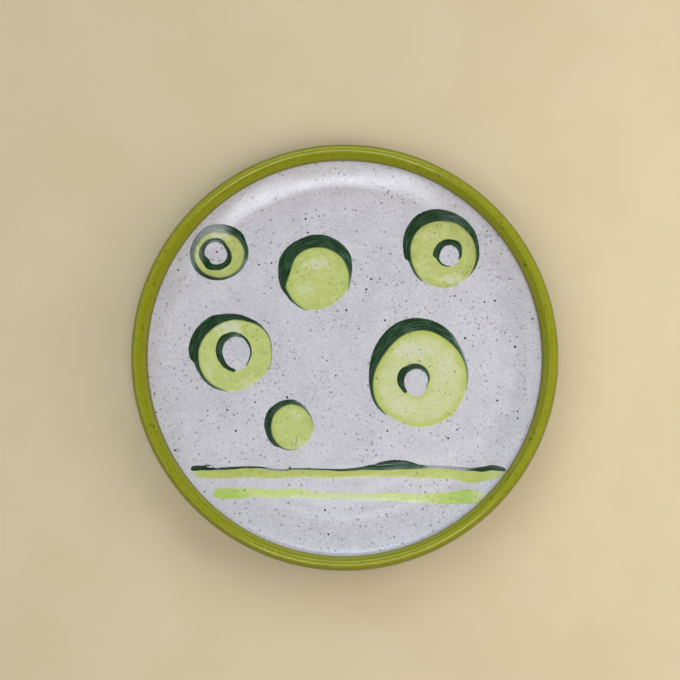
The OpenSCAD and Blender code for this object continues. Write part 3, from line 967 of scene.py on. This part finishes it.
motif("small_ring", "outline", small_outline, light_paint,
      Blob(*node_oval("small_ring_fill"), [(75, -0.5, 25), (150, -0.4, 20)], 31, 0.08),
      Blob(-67.3, 54.1, 5.7, 5.7, [(218, -1.3, 14), (330, 0.5, 20), (30, -0.3, 16)], 41, 0.05),
      small_inner, pool=0.12, pale_spots=[(-66, 63.5, 9, 4, 0.5), (-75, 55, 4, 9, 0.4)])
motif("top_disc", "crescent", top_crescent, fresh_paint,
      Blob(*node_oval("top_disc_fill"),
           [(164, -1.3, 15), (194, 0.9, 6), (228, 0.9, 24), (300, -0.9, 16)], 32),
      pool=0.12, pale_spots=[(-14, 48.5, 9, 4, 0.5), (-21, 35, 7, 5, 0.3), (-4, 29, 5, 3, 0.3)])
motif("right_ring", "crescent", right_crescent, light_paint,
      Blob(*node_oval("right_ring_fill"), [(140, 0.9, 22), (195, -0.4, 20)], 33),
      Blob(54.8, 52.9, 4.8, 5.3, [(205, 0.7, 18)], 43, 0.06),
      right_inner, (False, False), pool=0.16,
      pale_spots=[(56, 40, 9, 4, 0.45), (40, 46, 5, 8, 0.2), (44, 63, 8, 4, 0.2)])
motif("left_ring", "crescent", left_crescent, fresh_paint,
      Blob(*node_oval("left_ring_fill"), [(42, 1.4, 20), (140, -0.4, 20), (305, -0.8, 20)], 34),
      Blob(-56.4, 2.1, 7.1, 8.2, [(215, -0.6, 20), (295, 0.7, 16)], 44, 0.08),
      left_inner, (False, True), pool=0.0,
      pale_spots=[(-60, 14.8, 9, 5, 0.6), (-50, -14, 7, 4, 0.3), (-70, -6, 4, 8, 0.2)])
motif("big_ring", "crescent", big_crescent, pale_paint,
      Blob(*node_oval("big_ring_fill"), [(142, -1.6, 20), (205, 1.3, 18), (88, 0.4, 16)], 35),
      Blob(37.2, -13.1, 6.2, 6.6, [(340, -0.7, 18), (275, 0.5, 14)], 45, 0.07),
      big_inner, (False, True), pool=0.42,
      pale_spots=[(34, 3.5, 13, 5, 0.35), (29, -25, 9, 5, 0.2), (52, -6, 5, 9, 0.25)])
motif("low_disc", "crescent", low_crescent, fresh_paint,
      Blob(*node_oval("low_disc_fill"), [(30, -0.5, 20), (180, -0.3, 18)], 36),
      pool=0.1, pale_spots=[(-22.5, -44.5, 5, 3, 0.3), (-24, -30, 5, 4, 0.2)])

# The three lines: (x, y, half width, wash)
dark_rows = [
    (-66.5, -58.1, 0.6, 0.0), (-58, -57.7, 0.7, 0.05), (-50, -57.2, 0.55, 0.1),
    (-43, -57.4, 0.5, 0.2), (-39, -58.1, 0.6, 0.75), (-32, -58.7, 0.5, 0.7),
    (-27, -58.1, 0.4, 0.4), (-20, -58.1, 0.45, 0.4), (-10, -58.4, 0.4, 0.4),
    (-3, -58.7, 0.65, 0.1), (4, -58.3, 0.7, 0.2), (9, -57.8, 0.9, 0.35), (14, -57.3, 1.4, 0.2),
    (20, -57.1, 1.6, 0.15), (28, -56.5, 1.9, 0.25), (34, -56.5, 1.7, 0.3),
    (39, -56.9, 1.1, 0.3), (44, -57.0, 0.8, 0.85), (52, -57.3, 0.8, 0.95),
    (60, -58.0, 0.9, 0.8), (66, -58.4, 0.9, 0.35), (71, -58.3, 1.3, 0.1), (76, -57.5, 1.4, 0.0),
    (80, -58.0, 1.3, 0.0), (83, -58.7, 0.9, 0.1)]
dark_head_rows = [
    (-79.6, -58.0, 1.1, 0.0), (-77, -57.8, 1.5, 0.0), (-74, -57.6, 1.4, 0.0),
    (-70, -58.1, 0.9, 0.0), (-65, -58.2, 0.6, 0.0)]
dark_wisp_rows = [(-76, -57.2, 0.5, 0.1), (-71.5, -56.5, 0.55, 0.1), (-68.5, -56.1, 0.25, 0.4)]
dark_accent_rows = [
    (15.5, -56.0, 0.6, 0.0), (20, -55.1, 1.0, 0.0), (26, -54.5, 1.2, 0.0),
    (31, -54.7, 1.1, 0.0), (38.5, -56.2, 0.6, 0.1)]
olive_rows = [
    (-78, -60.8, 0.9, 0.5), (-74.5, -61.0, 2.0, 0.4), (-66, -61.1, 2.3, 0.25),
    (-50, -60.3, 2.6, 0.2), (-36, -61.0, 2.5, 0.3), (-22, -60.4, 2.3, 0.25),
    (-8, -61.0, 2.4, 0.3), (4, -60.7, 2.2, 0.3), (20, -60.5, 2.2, 0.35), (32, -60.3, 2.5, 0.3),
    (44, -60.5, 2.9, 0.35), (55, -61.1, 2.8, 0.4), (66, -62.6, 3.2, 0.35),
    (73, -61.9, 2.7, 0.35), (79, -61.1, 1.9, 0.5), (82, -60.8, 0.9, 0.7)]
lime_rows = [
    (-68.2, -70.8, 2.6, 0.1), (-62, -70.8, 3.2, 0.0), (-54, -70.7, 3.1, 0.1),
    (-46, -70.3, 2.6, 0.35), (-36, -70.9, 2.6, 0.35), (-25, -70.4, 2.7, 0.45),
    (-14, -71.6, 2.3, 0.65), (0, -72.0, 2.2, 0.75), (12, -72.3, 2.3, 0.7),
    (24, -72.3, 2.6, 0.5), (36, -72.9, 2.6, 0.5), (46, -73.2, 3.1, 0.35),
    (55, -73.0, 3.7, 0.15), (63, -72.4, 4.1, 0.0), (68, -72.4, 3.6, 0.45), (74, -71.4, 1.2, 0.95)]


def dark_over_olive(to_top, to_bottom, edge):
    """The dark line fades into white above and meets the olive line below."""
    return {"fade": to_top + 0.1, "stain": 0.8 * (1 - ease(0.0, 0.35, to_bottom))}


def plain_edges(to_top, to_bottom, edge):
    return {}


def under_dark(to_top, to_bottom, edge):
    """The olive line runs under the dark one along its top."""
    return {"fade": np.minimum(to_bottom, edge + 0.5)}


finish_piece(line_stroke("olive_line_stroke", olive_rows, 0.0, under_dark, 61),
             olive_paint, "olive_green_paint", "olive_line")
finish_piece(line_stroke("lime_line_stroke", lime_rows, 0.0, plain_edges, 63),
             lime_paint, "lime_green_paint", "lime_line")
finish_piece(line_stroke("dark_line_stroke", dark_rows, DARK_LIFT, dark_over_olive, 65),
             dark_paint, "dark_green_paint", "dark_line")
for stroke, rows, seed in (("head", dark_head_rows, 67), ("wisp", dark_wisp_rows, 69),
                           ("accent", dark_accent_rows, 71)):
    finish_piece(
        line_stroke(f"dark_line_{stroke}", rows, 2 * DARK_LIFT, plain_edges, seed, 0.04),
        dark_paint, "dark_green_paint", "dark_line")

# --- Floor, light and camera --------------------------------------------------------------------

def floor_material():
    g = Graph("pale_floor")
    tone = g.step(g.noise(60, 3.0, 0.6).outputs["Fac"], 0.35, 0.65)
    color = g.mix(tone, linear(212, 195, 158), linear(209, 191, 153))
    return g.finish_surface(color, 0.85, 0.02, 2.0, ior=1.3)


FLOOR_SIZE = 3.0
floor_mesh = bpy.data.meshes.new("floor")
half = FLOOR_SIZE / 2
floor_mesh.from_pydata(
    [(-half, -half, 0), (half, -half, 0), (half, half, 0), (-half, half, 0)], [], [(0, 1, 2, 3)])
floor = bpy.data.objects.new("floor", floor_mesh)
bpy.context.scene.collection.objects.link(floor)
floor.data.materials.append(floor_material())


LOWEST_SKY = 0.02


def studio_world(ambient, backdrop, windows):
    """An even sky with soft windows in it, and a plain backdrop for the camera. A window is its
    radiance, then the angles in degrees, from straight up towards +X and +Y, at which its left,
    right, low and high edges begin and are complete, and its bow: where in X it is highest and
    how quickly it sags away from there."""
    world = bpy.data.worlds.new("studio")
    w = Nodes(world)
    split = w.add("ShaderNodeSeparateXYZ")
    w.put(split.inputs[0], w.add("ShaderNodeTexCoord").outputs["Generated"])
    upward = w.math("MAXIMUM", split.outputs[2], LOWEST_SKY)
    towards_x = w.math("DIVIDE", split.outputs[0], upward)
    towards_y = w.math("DIVIDE", split.outputs[1], upward)
    total = ambient
    for radiance, left, right, low, high, bow in windows:
        middle = w.math("SUBTRACT", towards_x, math.tan(math.radians(bow[0])))
        sag = w.math("MULTIPLY", w.math("MULTIPLY", middle, middle), bow[1])
        bent_y = w.math("ADD", towards_y, sag)
        mask = 1.0
        for value, edge in ((towards_x, left), (towards_x, right), (bent_y, low), (bent_y, high)):
            outside, inside = (math.tan(math.radians(v)) for v in edge)
            soft = w.step(value, *sorted((outside, inside)), float(inside < outside),
                          float(outside < inside))
            mask = w.math("MULTIPLY", soft, mask)
        shade = w.add("ShaderNodeVectorMath", operation="SCALE")
        w.put(shade.inputs[0], radiance)
        w.put(shade.inputs["Scale"], mask)
        total = w.vector("ADD", shade.outputs[0], total)
    choose = w.add("ShaderNodeMixShader")
    w.put(choose.inputs[0], w.add("ShaderNodeLightPath").outputs["Is Camera Ray"])
    for socket, color in ((choose.inputs[1], total), (choose.inputs[2], (*backdrop, 1))):
        background = w.add("ShaderNodeBackground")
        w.put(background.inputs[0], color)
        w.put(socket, background.outputs[0])
    w.put(w.add("ShaderNodeOutputWorld").inputs[0], choose.outputs[0])
    bpy.context.scene.world = world


AMBIENT = (0.173, 0.15, 0.136)
BACKDROP = (0.6, 0.54, 0.44)
FRONT_WINDOW = ((5.1, 5.5, 6.1), (-25, -14), (25, 15), (-30, -6), (-1, -6), (4, 3.4))
FRONT_SKY = ((0.57, 0.6, 0.65), (-62, -40), (34, 10), (-66, -50), (-8, -26), (0, 0))
HIGH_WINDOW = ((2.25, 2.75, 3.4), (-44, -20), (42, 10), (36, 54), (74, 58), (0, 0))
BACK_SKY = ((0.42, 0.52, 0.6), (-60, -38), (66, 40), (14, 34), (74, 60), (0, 0))
RIGHT_SKY = ((0.25, 0.23, 0.21), (40, 78), (89.9, 89.5), (-89.9, -89.5), (89.9, 89.5), (0, 0))
LEFT_WINDOW = ((0.95, 0.97, 1.0), (-76, -54), (-18, -30), (-34, -12), (44, 26), (0, 0))
CAMERA_SHADE = ((-0.14, -0.124, -0.11), (-28, -14), (8, -4), (-14, -3), (12, 2), (0, 0))
studio_world(AMBIENT, BACKDROP,
             [FRONT_WINDOW, FRONT_SKY, HIGH_WINDOW, BACK_SKY, RIGHT_SKY, LEFT_WINDOW,
              CAMERA_SHADE])


def area_light(name, location, size, radiance, tint=(1, 1, 1)):
    """A rectangular light aimed at the plate. size is its width and height in metres."""
    data = bpy.data.lights.new(name, "AREA")
    data.shape = "RECTANGLE"
    data.size, data.size_y = size
    data.energy = radiance * math.pi * size[0] * size[1]
    data.color = tint
    lamp = bpy.data.objects.new(name, data)
    lamp.location = location
    lamp.rotation_euler = (-Vector(location)).to_track_quat("-Z", "Y").to_euler()
    lamp.visible_camera = False
    lamp.visible_glossy = False
    bpy.context.scene.collection.objects.link(lamp)


area_light("low_fill", (0.25, -0.8, 0.35), (0.8, 0.4), 0.5)
area_light("side_fill", (0.45, 0.02, 0.36), (0.4, 0.4), 2.4, (1, 0.93, 0.85))
bpy.context.scene.view_settings.view_transform = "Standard"

CAMERA_TILT = math.radians(4)
CAMERA_DISTANCE = 0.9
CAMERA_LENS = 91.93
AIM_Z = 0.012
AIM = Vector((-0.00238, 0.00857, AIM_Z))
camera_data = bpy.data.cameras.new("camera")
camera_data.lens = CAMERA_LENS
camera = bpy.data.objects.new("camera", camera_data)
camera.location = (0, -math.sin(CAMERA_TILT) * CAMERA_DISTANCE,
                   math.cos(CAMERA_TILT) * CAMERA_DISTANCE + AIM_Z)
forward = (AIM - camera.location).normalized()
rightward = forward.cross(Vector((0, 1, 0))).normalized()
upward = rightward.cross(forward)
camera.rotation_euler = Matrix((rightward, upward, -forward)).transposed().to_euler()
bpy.context.scene.collection.objects.link(camera)
bpy.context.scene.camera = camera
